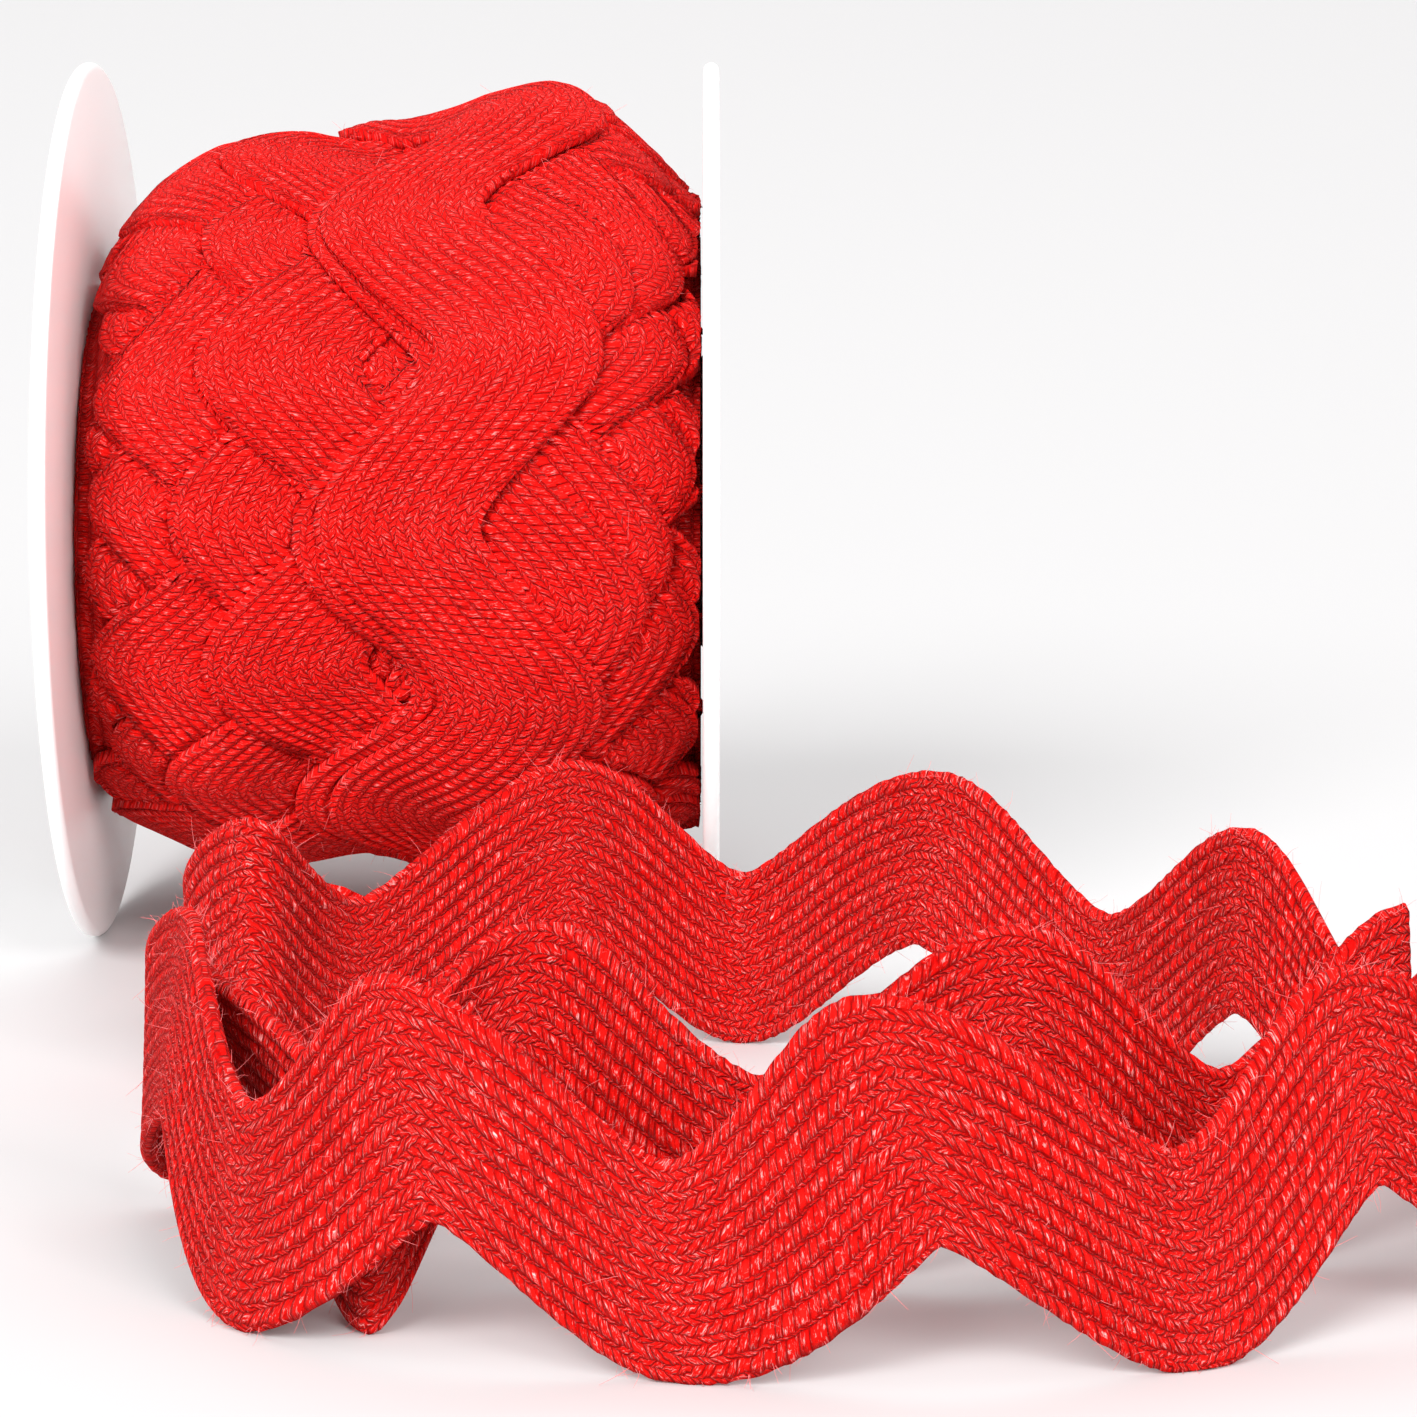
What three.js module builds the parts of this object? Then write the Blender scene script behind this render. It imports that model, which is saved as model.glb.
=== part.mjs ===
// Roll of ric rac: a moulded spool, the zigzag braid wound on it, and the loose end that stands on edge in front.
// Millimetres, +Z up. X runs along the spool's axle, and the loose end lies towards -Y.
import * as THREE from 'three';
import * as BufferGeometryUtils from 'three/addons/utils/BufferGeometryUtils.js';

// Spool
const FLANGE_RADIUS = 50;
const FLANGE_THICKNESS = 1.8;
const FLANGE_EDGE = 0.5;
const WINDING_WIDTH = 68.8;
const HUB_RADIUS = 16;
const SOCKET_RADIUS = 10;
const SOCKET_DEPTH = 3.5;
const SPOOL_SIDES = 60;
const FLANGE_RIGHT_X = -0.6;
const FLANGE_LEFT_X = FLANGE_RIGHT_X - WINDING_WIDTH;
// One side of the flanges is the small flat spot that the spool stands on.
const AXLE_HEIGHT = FLANGE_RADIUS * Math.cos(Math.PI / SPOOL_SIDES);

// Braid
const BRAID_WIDTH = 31;
const BAND_WIDTH = 18;
const BRAID_THICKNESS = 1.6;
const WAVE_SHAPE = 0.75;
const GAP = 0.3;

// Winding: one row for each time the strand passes the front of the roll, first turn first.
// centre is the x of the strand's middle line, and waves counts the full waves laid so far.
const WINDING = [
  { centre: -52.4, waves: 0.15 },
  { centre: -52.4, waves: 7.65 },
  { centre: -35.0, waves: 15.15 },
  { centre: -14.6, waves: 22.70 },
  { centre: -14.6, waves: 30.20 },
  { centre: -16.6, waves: 37.76 },
  { centre: -16.6, waves: 45.32 },
  { centre: -35.0, waves: 52.85 },
  { centre: -51.6, waves: 60.38 },
  { centre: -51.6, waves: 67.98 },
  { centre: -42.5, waves: 75.42 },
  { centre: -19.0, waves: 83.04 },
  { centre: -22.0, waves: 90.18 },
  { centre: -39.5, waves: 97.92 },
  { centre: -29.0, waves: 105.48 },
  { centre: -26.5, waves: 112.45 },
  { centre: -31.0, waves: 119.90 },
];
const FIRST_TURN = -0.5;
const LAST_TURN = 15.75;

// Outline of the full roll, from its left shoulder to its right one: its radius at the top and underneath.
const ROLL_OUTLINE = [
  { x: -68.0, top: 31.0, under: 37.2 },
  { x: -65.5, top: 35.0, under: 38.2 },
  { x: -62.0, top: 37.4, under: 39.0 },
  { x: -55.0, top: 39.9, under: 40.4 },
  { x: -45.0, top: 41.5, under: 41.0 },
  { x: -35.0, top: 42.2, under: 41.8 },
  { x: -25.0, top: 44.6, under: 43.8 },
  { x: -18.0, top: 44.9, under: 44.1 },
  { x: -12.0, top: 44.2, under: 43.5 },
  { x: -6.0, top: 40.6, under: 41.2 },
  { x: -1.5, top: 37.4, under: 39.4 },
];
const START_DEPTH = 7;
const LAYER_THICKNESS = 1.7;
const RIDE_REACH = { sides: 2, columns: 2 };
const EVEN_REACH = { sides: 4, columns: 5 };
const SETTLE = 0.3;
const ROLL_SIDES = 120;
const ROLL_COLUMNS = 36;

// Loose end: one row for each crest and trough of its wave, from under the roll to the cut end.
// x and y place its lower edge, lean tips its top to the left of its travel, lift raises it off the surface,
// swing scales its wave, which is less than 1 where the braid is pulled a little straighter, width is the
// band's own, slant sends its upper edge ahead of its lower one, and belly is the lower edge's wave shape.
const LOOSE_END = [
  { x: -44, y: -2, lean: 90, lift: 1.9, swing: 1, width: 18, slant: 0, belly: 0.75 },
  { x: -44, y: -21, lean: 90, lift: 0.2, swing: 1, width: 18, slant: 0, belly: 0.75 },
  { x: -45, y: -40, lean: 90, lift: 0, swing: 1, width: 18, slant: 0, belly: 0.75 },
  { x: -52, y: -61, lean: 84, lift: -1.2, swing: 1, width: 15, slant: 4, belly: 0.75 },
  { x: -52.2, y: -77, lean: 5, lift: 0, swing: 1, width: 18, slant: 0, belly: 0.75 },
  { x: -43.8, y: -94.5, lean: 0, lift: 0, swing: 0.8, width: 18, slant: 0, belly: 0.75 },
  { x: -34.7, y: -82, lean: 0, lift: 0, swing: 0.8, width: 18, slant: 0, belly: 0.75 },
  { x: -14.5, y: -69, lean: 0, lift: 0, swing: 1, width: 18, slant: 0, belly: 0.75 },
  { x: 3.5, y: -61, lean: 0, lift: 0, swing: 1, width: 18, slant: 0, belly: 0.75 },
  { x: 21.5, y: -74, lean: 0, lift: 0, swing: 1, width: 18, slant: 4.5, belly: 0.75 },
  { x: 39, y: -88, lean: 0, lift: 0, swing: 0.85, width: 18, slant: 1, belly: 0.75 },
  { x: 50.3, y: -104, lean: 0, lift: 0, swing: 0.92, width: 18, slant: 1.5, belly: 0.75 },
  { x: 61.5, y: -117, lean: 0, lift: 0, swing: 1, width: 16, slant: 0, belly: 0.75 },
  { x: 77, y: -129, lean: 0, lift: 0, swing: 1, width: 18, slant: 0, belly: 0.75 },
  { x: 87, y: -142, lean: 0, lift: 0, swing: 1, width: 18, slant: 0, belly: 0.75 },
  { x: 86, y: -158, lean: 0, lift: 0, swing: 1, width: 18, slant: 2, belly: 0.75 },
  { x: 72.5, y: -163, lean: 0, lift: 0, swing: 1, width: 18, slant: 2, belly: 0.68 },
  { x: 54, y: -170, lean: 0, lift: 0, swing: 1, width: 18.5, slant: 6, belly: 0.6 },
  { x: 37.2, y: -180, lean: 0, lift: 0, swing: 1, width: 18.6, slant: 5, belly: 0.6 },
  { x: 17.2, y: -185, lean: 3, lift: 0, swing: 1, width: 20.4, slant: 8.5, belly: 0.6 },
  { x: -3, y: -183, lean: 0, lift: 0, swing: 1, width: 18, slant: 3, belly: 0.6 },
  { x: -22, y: -178, lean: 3, lift: 0, swing: 1, width: 20, slant: 5, belly: 0.66 },
  { x: -37.4, y: -169, lean: 0, lift: 0.75, swing: 1, width: 19.5, slant: -4.2, belly: 0.78 },
  { x: -48.2, y: -148, lean: -8, lift: 0, swing: 1, width: 18, slant: 0, belly: 0.75 },
  { x: -48.4, y: -128.5, lean: 0, lift: 2.5, swing: 1, width: 18, slant: 0, belly: 0.75 },
  { x: -34.8, y: -145.5, lean: -14, lift: -5, swing: 1, width: 18, slant: 0, belly: 0.75 },
  { x: -27.5, y: -169.3, lean: 0, lift: 0, swing: 1, width: 18, slant: 0, belly: 0.75 },
  { x: -17.2, y: -155, lean: 0, lift: 0, swing: 1, width: 18.5, slant: 7.5, belly: 0.75 },
  { x: 4.5, y: -156, lean: 0, lift: 0.3, swing: 1, width: 18.5, slant: 0, belly: 0.75 },
  { x: 25.5, y: -155, lean: 0, lift: 0, swing: 1, width: 18.5, slant: 0, belly: 0.75 },
  { x: 43.5, y: -151, lean: 0, lift: 0, swing: 1, width: 18, slant: 0, belly: 0.75 },
  { x: 61, y: -144, lean: 0, lift: 0, swing: 1, width: 18, slant: -2, belly: 0.75 },
];
const CUT_AT_ROW = 30.98;
const STEPS_PER_ROW = 8;
const SECTION_ROWS = 3;
const PRESSED_FLAT = 0.3;

const plastic = new THREE.MeshStandardMaterial({ color: 0xf4f2f1, roughness: 0.3, metalness: 0 });
const braid = new THREE.MeshStandardMaterial({ color: 0xe3262c, roughness: 0.85, metalness: 0 });

// The value of a table's column at a place between its rows, on a smooth curve through all of them.
function between(rows, column, place) {
  const last = rows.length - 1;
  const i = THREE.MathUtils.clamp(Math.floor(place), 0, last - 1);
  const t = place - i;
  const b = rows[i][column];
  const c = rows[i + 1][column];
  const a = i > 0 ? rows[i - 1][column] : 2 * b - c;
  const d = i + 2 <= last ? rows[i + 2][column] : 2 * c - b;
  return b + 0.5 * t * (c - a + t * (2 * a - 5 * b + 4 * c - d + t * (3 * (b - c) + d - a)));
}

// The braid's wave, from 0 in a trough to 1 on a crest.
function crest(phase, shape = WAVE_SHAPE) {
  return ((1 + Math.cos(phase)) / 2) ** shape;
}

// The band's two edges, measured across the braid's width from 0 to BRAID_WIDTH.
function bandEdges(phase, swing = 1, width = BAND_WIDTH, belly = WAVE_SHAPE) {
  const travel = (BRAID_WIDTH - BAND_WIDTH) * swing;
  const middle = BRAID_WIDTH / 2;
  return {
    low: middle - width / 2 - travel * (crest(phase + Math.PI, belly) - 0.5),
    high: middle + width / 2 + travel * (crest(phase) - 0.5),
  };
}

// A closed mesh over a list of rings of points. It goes round in a full turn, or has two flat ends.
function skin(rings, fullTurn) {
  const across = rings[0].length;
  const faces = [];
  const joins = fullTurn ? rings.length : rings.length - 1;
  for (let i = 0; i < joins; i++) {
    const here = i * across;
    const next = ((i + 1) % rings.length) * across;
    for (let j = 0; j < across; j++) {
      const k = (j + 1) % across;
      faces.push(here + j, next + j, next + k, here + j, next + k, here + k);
    }
  }
  if (!fullTurn) {
    const end = (rings.length - 1) * across;
    for (let j = 1; j < across - 1; j++) faces.push(0, j, j + 1, end, end + j + 1, end + j);
  }
  const geometry = new THREE.BufferGeometry();
  geometry.setAttribute('position', new THREE.Float32BufferAttribute(rings.flat(2), 3));
  geometry.setIndex(faces);
  return facingOut(geometry);
}

// Turns every face round if the mesh's volume comes out negative.
function facingOut(geometry) {
  const position = geometry.getAttribute('position');
  const index = Array.from(geometry.getIndex().array);
  const [a, b, c] = [new THREE.Vector3(), new THREE.Vector3(), new THREE.Vector3()];
  let volume = 0;
  for (let i = 0; i < index.length; i += 3) {
    a.fromBufferAttribute(position, index[i]);
    b.fromBufferAttribute(position, index[i + 1]);
    c.fromBufferAttribute(position, index[i + 2]);
    volume += a.dot(b.cross(c));
  }
  if (volume < 0) geometry.setIndex(index.reverse());
  return geometry;
}

// Spool: two flanges on a hub, turned as one moulding, with a plain socket in each outer face.
function spoolGeometry() {
  const inner = WINDING_WIDTH / 2;
  const outer = inner + FLANGE_THICKNESS;
  const half = [
    [0, outer - SOCKET_DEPTH],
    [SOCKET_RADIUS, outer - SOCKET_DEPTH],
    [SOCKET_RADIUS, outer],
    [FLANGE_RADIUS - FLANGE_EDGE, outer],
    [FLANGE_RADIUS, outer - FLANGE_EDGE],
    [FLANGE_RADIUS, inner + FLANGE_EDGE],
    [FLANGE_RADIUS - FLANGE_EDGE, inner],
    [HUB_RADIUS, inner],
  ];
  const mirrored = half.map(([r, x]) => [r, -x]).reverse();
  const profile = [...half, ...mirrored].map(([r, x]) => new THREE.Vector2(r, x));
  const lathe = new THREE.LatheGeometry(profile, SPOOL_SIDES);
  lathe.deleteAttribute('normal');
  lathe.deleteAttribute('uv');
  const geometry = BufferGeometryUtils.mergeVertices(lathe, 1e-3);
  const index = Array.from(geometry.getIndex().array);
  const faces = [];
  for (let i = 0; i < index.length; i += 3) {
    const corners = index.slice(i, i + 3);
    if (new Set(corners).size === 3) faces.push(...corners);
  }
  geometry.setIndex(faces);
  geometry.rotateY(Math.PI / SPOOL_SIDES);
  geometry.rotateZ(-Math.PI / 2);
  return facingOut(geometry);
}

// The radius that the full roll evens out to. Angle 0 is the top.
function rollOutline(x, angle) {
  const last = ROLL_OUTLINE.length - 1;
  const next = THREE.MathUtils.clamp(ROLL_OUTLINE.findIndex((row) => row.x > x), 1, last);
  const [a, b] = x > ROLL_OUTLINE[last].x ? ROLL_OUTLINE.slice(-2) : [ROLL_OUTLINE[next - 1], ROLL_OUTLINE[next]];
  const share = THREE.MathUtils.clamp((x - a.x) / (b.x - a.x), 0, 1);
  const top = THREE.MathUtils.lerp(a.top, b.top, share);
  const under = THREE.MathUtils.lerp(a.under, b.under, share);
  return THREE.MathUtils.lerp(top, under, (1 - Math.cos(angle)) / 2);
}

// The mean of a grid of radii over a window round each of its points. Its sides go round in a full turn.
function boxMean(grid, reach) {
  return grid.map((row, i) => row.map((_, j) => {
    let sum = 0;
    for (let a = -reach.sides; a <= reach.sides; a++) {
      const side = grid[(i + a + ROLL_SIDES) % ROLL_SIDES];
      for (let b = -reach.columns; b <= reach.columns; b++) {
        sum += side[THREE.MathUtils.clamp(j + b, 0, ROLL_COLUMNS - 1)];
      }
    }
    return sum / ((2 * reach.sides + 1) * (2 * reach.columns + 1));
  }));
}

// Lays one turn of the strand over the roll's radii. Side 0 is the top, and sides go down the front.
function layTurn(under, columnX, turn) {
  const softness = columnX[1] - columnX[0];
  const ride = boxMean(under, RIDE_REACH);
  return under.map((row, i) => {
    const sinceFront = 0.25 - i / ROLL_SIDES;
    const place = turn + (sinceFront > -0.5 ? sinceFront : sinceFront + 1);
    if (place < FIRST_TURN || place > LAST_TURN) return row;
    const start = between(WINDING, 'centre', place) - BRAID_WIDTH / 2;
    const edges = bandEdges(2 * Math.PI * between(WINDING, 'waves', place));
    return row.map((radius, j) => {
      const inside = Math.min(columnX[j] - start - edges.low, start + edges.high - columnX[j]);
      const cover = THREE.MathUtils.smoothstep(inside, -softness / 2, softness / 2);
      const laid = Math.max(ride[i][j] + LAYER_THICKNESS, radius + LAYER_THICKNESS / 2);
      return THREE.MathUtils.lerp(radius, laid, cover);
    });
  });
}

// Lets the soft pile settle a little into its hollows.
function settled(radii) {
  const mean = boxMean(radii, RIDE_REACH);
  return radii.map((row, i) => row.map((radius, j) => THREE.MathUtils.lerp(radius, mean[i][j], SETTLE)));
}

// The radii of the whole roll, turn by turn from below, then brought to its outline.
function layRoll(columnX) {
  const outline = [];
  for (let i = 0; i < ROLL_SIDES; i++) {
    const angle = (2 * Math.PI * i) / ROLL_SIDES;
    outline.push(columnX.map((x) => rollOutline(x, angle)));
  }
  let radii = outline.map((row) => row.map((radius) => radius - START_DEPTH));
  for (let turn = 0; turn <= Math.ceil(LAST_TURN); turn++) radii = settled(layTurn(radii, columnX, turn));
  const even = boxMean(boxMean(radii, EVEN_REACH), EVEN_REACH);
  return radii.map((row, i) => row.map((radius, j) => radius + outline[i][j] - even[i][j]));
}

// Wound roll: one ring round the hub, with its strands raised in its surface.
function rollGeometry() {
  const columnX = [];
  const step = (WINDING_WIDTH - 2 * GAP) / (ROLL_COLUMNS - 1);
  for (let j = 0; j < ROLL_COLUMNS; j++) columnX.push(FLANGE_LEFT_X + GAP + step * j);
  const bore = HUB_RADIUS + GAP;
  const rings = layRoll(columnX).map((row, i) => {
    const angle = (2 * Math.PI * i) / ROLL_SIDES;
    const at = (x, r) => [x, -r * Math.sin(angle), r * Math.cos(angle)];
    const outside = row.map((radius, j) => at(columnX[j], radius));
    return [...outside, at(columnX[ROLL_COLUMNS - 1], bore), at(columnX[0], bore)];
  });
  return skin(rings, true);
}

// One section of the loose end: a thin rectangle on the lower edge's place, tipped by the lean there.
function looseSection(place) {
  const columns = ['x', 'y', 'lean', 'lift', 'swing', 'width', 'slant', 'belly'];
  const [x, y, lean, lift, swing, width, slant, belly] = columns.map((column) => between(LOOSE_END, column, place));
  const step = 0.01;
  const travel = new THREE.Vector2(
    between(LOOSE_END, 'x', place + step) - between(LOOSE_END, 'x', place - step),
    between(LOOSE_END, 'y', place + step) - between(LOOSE_END, 'y', place - step),
  ).normalize();
  const tilt = THREE.MathUtils.degToRad(lean);
  const up = new THREE.Vector3(-travel.y * Math.sin(tilt), travel.x * Math.sin(tilt), Math.cos(tilt));
  const out = new THREE.Vector3(-travel.y * Math.cos(tilt), travel.x * Math.cos(tilt), -Math.sin(tilt));
  const half = BRAID_THICKNESS / 2;
  const height = lift + half * Math.abs(Math.sin(tilt)) - PRESSED_FLAT * Math.cos(tilt);
  const edges = bandEdges(Math.PI * (place - 1), swing, width, belly);
  const side = (sign) => {
    const points = [];
    for (let row = 0; row < SECTION_ROWS; row++) {
      const reach = THREE.MathUtils.lerp(edges.low, edges.high, row / (SECTION_ROWS - 1));
      const point = new THREE.Vector3(x, y, height).addScaledVector(up, reach).addScaledVector(out, sign * half);
      const ahead = slant * (reach / BRAID_WIDTH - 0.5);
      points.push([point.x + travel.x * ahead, point.y + travel.y * ahead, Math.max(point.z, 0)]);
    }
    return points;
  };
  return [...side(1), ...side(-1).reverse()];
}

// Loose end: the braid from under the roll to its cut end, standing on its troughs.
function looseEndGeometry() {
  const sections = [];
  const steps = Math.round(CUT_AT_ROW * STEPS_PER_ROW);
  for (let i = 0; i <= steps; i++) sections.push(looseSection((CUT_AT_ROW * i) / steps));
  return skin(sections, false);
}

const part = new THREE.Group();
const axle = new THREE.Group();
axle.position.z = AXLE_HEIGHT;

const spool = new THREE.Mesh(spoolGeometry(), plastic);
spool.name = 'spool';
spool.position.x = (FLANGE_LEFT_X + FLANGE_RIGHT_X) / 2;

const roll = new THREE.Mesh(rollGeometry(), braid);
roll.name = 'wound_roll';

const looseEnd = new THREE.Mesh(looseEndGeometry(), braid);
looseEnd.name = 'loose_end';

axle.add(spool, roll);
part.add(axle, looseEnd);

// The part's origin is under the middle of its whole outline.
const outline = new THREE.Box3().setFromObject(part, true);
const middle = outline.getCenter(new THREE.Vector3());
part.position.set(-middle.x, -middle.y, -outline.min.z);

export default part;
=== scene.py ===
import math

import bpy
import numpy as np
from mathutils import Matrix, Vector


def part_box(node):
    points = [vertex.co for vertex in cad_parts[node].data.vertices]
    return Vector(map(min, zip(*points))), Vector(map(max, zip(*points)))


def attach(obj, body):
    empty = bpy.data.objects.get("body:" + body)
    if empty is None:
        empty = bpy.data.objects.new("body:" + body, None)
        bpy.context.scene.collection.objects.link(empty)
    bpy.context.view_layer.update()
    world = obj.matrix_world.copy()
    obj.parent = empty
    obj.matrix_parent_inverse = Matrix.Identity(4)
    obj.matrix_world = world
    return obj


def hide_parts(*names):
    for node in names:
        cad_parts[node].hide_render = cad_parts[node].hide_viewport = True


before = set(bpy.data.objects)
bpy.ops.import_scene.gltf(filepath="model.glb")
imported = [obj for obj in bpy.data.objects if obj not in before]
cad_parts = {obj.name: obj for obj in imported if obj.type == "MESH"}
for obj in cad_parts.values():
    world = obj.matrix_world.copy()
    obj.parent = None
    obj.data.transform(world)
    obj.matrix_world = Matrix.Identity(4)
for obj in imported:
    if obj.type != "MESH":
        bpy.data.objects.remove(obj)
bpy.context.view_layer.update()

# Sizes are in millimetres in the part's own lines and places, as the solids were drawn, and MM turns them
# into metres. The spool's middle gives the offset between that drawing and the frame.
MM = 0.001
PHOTO_SIZE = 1417

# Spool
FLANGE_RADIUS = 50.0
FLANGE_THICKNESS = 1.8
WINDING_WIDTH = 68.8
HUB_RADIUS = 16.0
SOCKET_RADIUS = 10.0
SOCKET_DEPTH = 3.4
SPOOL_SIDES = 240
SOLID_SIDES = 60
FLANGE_RIGHT_X = -0.6
FLANGE_LEFT_X = FLANGE_RIGHT_X - WINDING_WIDTH
SPOOL_MIDDLE_X = (FLANGE_LEFT_X + FLANGE_RIGHT_X) / 2
# The solid flange has SOLID_SIDES sides and stands on one of them.
AXLE_HEIGHT = FLANGE_RADIUS * math.cos(math.pi / SOLID_SIDES)

# Braid
BRAID_WIDTH = 31.0
BAND_WIDTH = 18.0
BRAID_THICKNESS = 1.6
WAVE_SHAPE = 0.75
RIBS = 11
POINTS_PER_RIB = 3
RIB_DEPTH = 0.40
RIB_ROUNDNESS = 0.8
# At the wave's crests and troughs the cords lie flatter, with this share of their depth.
RIB_DEPTH_AT_CREST = 0.3
# How far inside the band the outermost stitches begin, in ribs.
RIB_MARGIN = 0.16
STITCH = 0.95
LOOSE_STEP = 0.6
WOUND_STEP = 1.0
EDGE_JITTER = 0.09
JITTER_LENGTH = 1.9
SELVEDGE = 0.2

# Fuzz
HAIR_RADIUS = 0.028
HAIR_STEPS = 4
LOOSE_HAIRS = 9000
ROLL_HAIRS = 5000
HAIR_SEED = 7
SHORTEST_HAIR = 0.4
LOOSE_LONGEST_HAIR = 2.2
WOUND_LONGEST_HAIR = 1.8
# Share of the hairs that stand on the two selvedges.
LOOSE_EDGE_SHARE = 0.45
WOUND_EDGE_SHARE = 0.4
TURNS_WITH_HAIRS = 6

# Winding: one row for each time the strand passes the front of the roll, first turn first.
# Columns: x of the strand's middle line, full waves laid so far.
WINDING = np.array([
    (-52.4, 0.15),
    (-52.4, 7.65),
    (-35.0, 15.15),
    (-14.6, 22.70),
    (-14.6, 30.20),
    (-16.6, 37.76),
    (-16.6, 45.32),
    (-35.0, 52.85),
    (-51.6, 60.38),
    (-51.6, 67.98),
    (-42.5, 75.42),
    (-19.0, 83.04),
    (-22.0, 90.18),
    (-39.5, 97.92),
    (-29.0, 105.48),
    (-26.5, 112.45),
    (-31.0, 119.90),
])
FIRST_TURN = -0.5
LAST_TURN = 15.75
SEAM_TURNS = 0.08
# The front of the roll is a quarter turn down from its top.
FRONT = 0.25

# Outline of the full roll. Columns: x, radius at the top, radius underneath.
ROLL_OUTLINE = np.array([
    (-68.0, 31.0, 37.2),
    (-65.5, 35.0, 38.2),
    (-62.0, 37.4, 39.0),
    (-55.0, 39.9, 40.4),
    (-45.0, 41.5, 41.0),
    (-35.0, 42.2, 41.8),
    (-25.0, 44.6, 43.8),
    (-18.0, 44.9, 44.1),
    (-12.0, 44.2, 43.5),
    (-6.0, 40.6, 41.2),
    (-1.5, 37.4, 39.4),
])
MEAN_RADIUS = 43.0
FLANGE_CLEARANCE = 0.3
# The turns are laid on a core that starts START_DEPTH under the outline. RIDE_MM is how far a turn bridges
# the steps below it, EVEN_MM the reach over which the roll is brought to its outline, SETTLE the share by
# which each new turn presses the pile even, and STRAND_EDGE the width of a strand's sloping edge.
START_DEPTH = 7.0
LAYER_THICKNESS = 1.7
RIDE_MM = 3.5
EVEN_MM = 9.0
SETTLE = 0.3
STRAND_EDGE = 0.8
ROLL_SIDES = 600
ROLL_COLUMNS = 173

# Loose end: one row for each crest and trough of its wave, from under the roll to the cut end. x and y place
# its lower edge, lean in degrees tips its top to the left of its travel, lift raises it, swing scales its
# wave, width is the band's own, slant sends its upper edge ahead of its lower one, and belly is the lower
# edge's wave shape. Columns: x, y, lean, lift, swing, width, slant, belly.
LOOSE_END = np.array([
    (-44, -2, 90, 1.9, 1, 18, 0, 0.75),
    (-44, -21, 90, 0.2, 1, 18, 0, 0.75),
    (-45, -40, 90, 0, 1, 18, 0, 0.75),
    (-52, -61, 84, -1.2, 1, 15, 4, 0.75),
    (-52.2, -77, 5, 0, 1, 18, 0, 0.75),
    (-43.8, -94.5, 0, 0, 0.8, 18, 0, 0.75),
    (-34.7, -82, 0, 0, 0.8, 18, 0, 0.75),
    (-14.5, -69, 0, 0, 1, 18, 0, 0.75),
    (3.5, -61, 0, 0, 1, 18, 0, 0.75),
    (21.5, -74, 0, 0, 1, 18, 4.5, 0.75),
    (39, -88, 0, 0, 0.85, 18, 1, 0.75),
    (50.3, -104, 0, 0, 0.92, 18, 1.5, 0.75),
    (61.5, -117, 0, 0, 1, 16, 0, 0.75),
    (77, -129, 0, 0, 1, 18, 0, 0.75),
    (87, -142, 0, 0, 1, 18, 0, 0.75),
    (86, -158, 0, 0, 1, 18, 2, 0.75),
    (72.5, -163, 0, 0, 1, 18, 2, 0.68),
    (54, -170, 0, 0, 1, 18.5, 6, 0.6),
    (37.2, -180, 0, 0, 1, 18.6, 5, 0.6),
    (17.2, -185, 3, 0, 1, 20.4, 8.5, 0.6),
    (-3, -183, 0, 0, 1, 18, 3, 0.6),
    (-22, -178, 3, 0, 1, 20, 5, 0.66),
    (-37.4, -169, 0, 0.75, 1, 19.5, -4.2, 0.78),
    (-48.2, -148, -8, 0, 1, 18, 0, 0.75),
    (-48.4, -128.5, 0, 2.5, 1, 18, 0, 0.75),
    (-34.8, -145.5, -14, -5, 1, 18, 0, 0.75),
    (-27.5, -169.3, 0, 0, 1, 18, 0, 0.75),
    (-17.2, -155, 0, 0, 1, 18.5, 7.5, 0.75),
    (4.5, -156, 0, 0.3, 1, 18.5, 0, 0.75),
    (25.5, -155, 0, 0, 1, 18.5, 0, 0.75),
    (43.5, -151, 0, 0, 1, 18, 0, 0.75),
    (61, -144, 0, 0, 1, 18, -2, 0.75),
])
CUT_AT_ROW = 30.98

spool_low, spool_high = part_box("spool")
OFFSET = np.array([
    (spool_low[0] + spool_high[0]) / 2 - SPOOL_MIDDLE_X * MM,
    (spool_low[1] + spool_high[1]) / 2,
    0.0,
])


# Camera: at the photograph's height and angle, level with the spool's right flange.
def add_camera():
    camera_height = 110.0
    camera_distance = 550.0
    pitch_down = math.radians(8.7)
    focal_pixels = 4810.0
    data = bpy.data.cameras.new("camera")
    data.sensor_width = 36.0
    data.lens = data.sensor_width * focal_pixels / PHOTO_SIZE
    data.clip_start = 0.01
    data.clip_end = 50.0
    camera = bpy.data.objects.new("camera", data)
    camera.location = Vector(OFFSET) + Vector((0.0, -camera_distance, camera_height)) * MM
    camera.rotation_euler = (math.pi / 2 - pitch_down, 0.0, 0.0)
    bpy.context.collection.objects.link(camera)
    bpy.context.scene.camera = camera


def between(rows, place):
    """The rows of a table at places between them, on a smooth curve through all of them."""
    place = np.atleast_1d(np.asarray(place, float))
    padded = np.vstack([2 * rows[0] - rows[1], rows, 2 * rows[-1] - rows[-2]])
    i = np.clip(np.floor(place).astype(int), 0, len(rows) - 2)
    t = (place - i)[:, None]
    a, b, c, d = (padded[i + k] for k in range(4))
    return b + 0.5 * t * (c - a + t * (2 * a - 5 * b + 4 * c - d + t * (3 * (b - c) + d - a)))


def crest(phase, shape=WAVE_SHAPE):
    """The form of one wave: 1 at its crest and 0 at its trough."""
    return ((1 + np.cos(phase)) / 2) ** shape


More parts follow.
